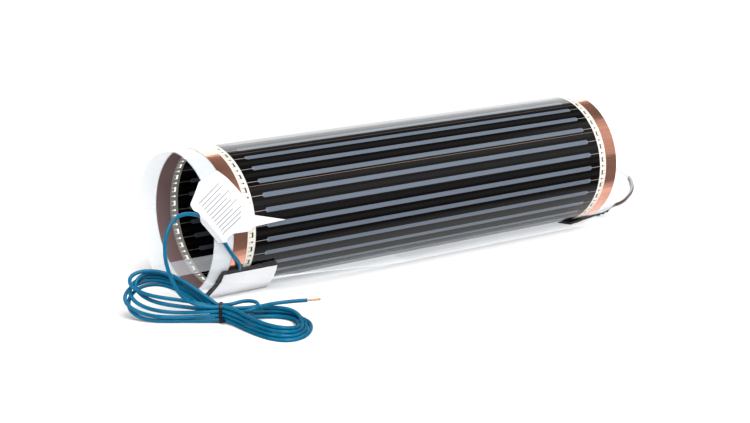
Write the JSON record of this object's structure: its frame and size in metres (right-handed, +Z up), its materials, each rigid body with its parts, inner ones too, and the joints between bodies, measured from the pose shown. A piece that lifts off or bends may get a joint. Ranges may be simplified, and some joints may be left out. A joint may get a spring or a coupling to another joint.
{
  "type": "underfloor heating film roll",
  "caption": "Loosely wound roll of carbon heating film with a free clear end, sealed connections, a paper tag and two insulated leads, one tied in a hank and one in a coil.",
  "frame": {"origin": "on the ground under the middle of the film and its pads", "axes": "+X along the roll towards its right end, +Y away from the free end of the film, +Z up"},
  "size_m": [0.7651, 0.3474, 0.1296],
  "materials": {
    "film": "glossy laminate: milky clear edges, copper and silver bands, black carbon with clear gaps",
    "mastic": "soft black sealing mastic, fingered",
    "liner": "smooth white backing paper",
    "tag": "white self-adhesive paper, bare",
    "blue_insulation": "smooth blue cable insulation",
    "brown_insulation": "smooth dark brown cable insulation",
    "nylon": "black nylon",
    "copper_wire": "bare stranded copper"
  },
  "bodies": {
    "root": {"film_roll": "film", "left_mastic_pad": "mastic", "left_pad_liner": "liner", "right_mastic_pad": "mastic", "label_tag": "tag", "blue_lead": "blue_insulation", "blue_hank": "blue_insulation", "blue_lead_end": "blue_insulation", "blue_cable_tie": "nylon", "blue_wire_end": "copper_wire", "brown_lead": "brown_insulation", "brown_coil": "brown_insulation", "brown_cable_tie": "nylon", "brown_wire_end": "copper_wire"}
  },
  "joints": []
}
